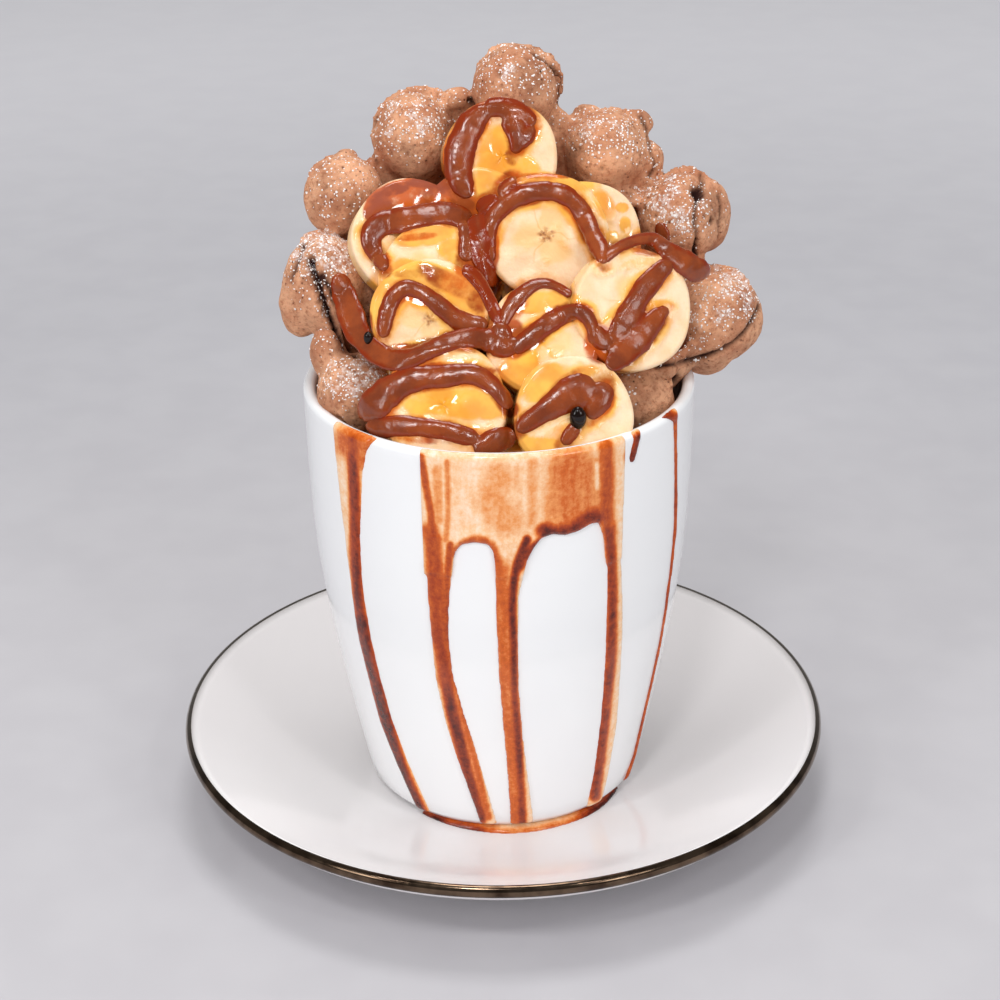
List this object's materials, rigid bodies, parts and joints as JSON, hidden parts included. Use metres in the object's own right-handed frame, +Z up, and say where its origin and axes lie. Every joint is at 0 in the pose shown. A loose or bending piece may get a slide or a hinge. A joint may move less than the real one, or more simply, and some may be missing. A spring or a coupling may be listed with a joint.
{
  "type": "bubble waffle in tumbler",
  "caption": "Rolled chocolate bubble waffle filled with banana slices and sauce, served upright in a glazed ceramic tumbler on a saucer with a silver edge.",
  "frame": {"origin": "centre of the saucer's foot, on the table", "axes": "+Z up along the tumbler's axis; -Y is the front, where the heap of slices and the sauce runs face"},
  "size_m": [0.17, 0.17, 0.193],
  "materials": {
    "porcelain": "white gloss glaze",
    "silver_edge": "fired silver line, polished",
    "tumbler_glaze": "white gloss glaze",
    "waffle": "porous baked chocolate batter, dusted with powdered sugar",
    "banana": "moist cut fruit",
    "chocolate_sauce": "wet chocolate sauce",
    "run_sauce": "wet translucent caramel and chocolate sauce",
    "dark_sauce": "wet dark chocolate"
  },
  "bodies": {
    "saucer": {"saucer": "porcelain", "saucer_silver_edge": "silver_edge", "sauce_pool_foot": "run_sauce"},
    "tumbler": {"tumbler": "tumbler_glaze", "sauce_run_front": "run_sauce", "sauce_run_left": "run_sauce", "sauce_run_thin": "run_sauce", "sauce_run_short": "run_sauce"},
    "waffle": {"waffle": "waffle", "banana_slice_front_left_rim": "banana", "banana_slice_front_right_rim": "banana", "banana_slice_lower_left": "banana", "banana_slice_lower_right": "banana", "banana_slice_right": "banana", "banana_slice_left": "banana", "banana_slice_middle": "banana", "banana_slice_centre": "banana", "banana_slice_left_inner": "banana", "banana_slice_upper_left": "banana", "banana_slice_upper_right": "banana", "banana_slice_top": "banana", "stacked_slice_1": "banana", "stacked_slice_2": "banana", "stacked_slice_3": "banana", "stacked_slice_4": "banana", "stacked_slice_5": "banana", "stacked_slice_6": "banana", "stacked_slice_7": "banana", "stacked_slice_8": "banana", "backing_slice_1": "banana", "backing_slice_2": "banana", "backing_slice_3": "banana", "backing_slice_4": "banana", "backing_slice_5": "banana", "sauce_top_slice": "chocolate_sauce", "sauce_upper_left": "chocolate_sauce", "sauce_valley": "chocolate_sauce", "sauce_centre_arc": "chocolate_sauce", "sauce_right_edge": "chocolate_sauce", "sauce_right_band": "chocolate_sauce", "sauce_middle_upper": "chocolate_sauce", "sauce_middle_lower": "chocolate_sauce", "sauce_left": "chocolate_sauce", "sauce_long_line": "chocolate_sauce", "sauce_lower_left_upper": "chocolate_sauce", "sauce_lower_left_lower": "chocolate_sauce", "sauce_lower_right": "chocolate_sauce", "sauce_dark_bead": "dark_sauce"}
  },
  "joints": [
    {"name": "tumbler_lift", "type": "slide", "parent": "saucer", "child": "tumbler", "axis": [0, 0, 1], "range_m": [0, 0.12]},
    {"name": "waffle_lift", "type": "slide", "parent": "tumbler", "child": "waffle", "axis": [0, 0, 1], "range_m": [0, 0.13]}
  ]
}
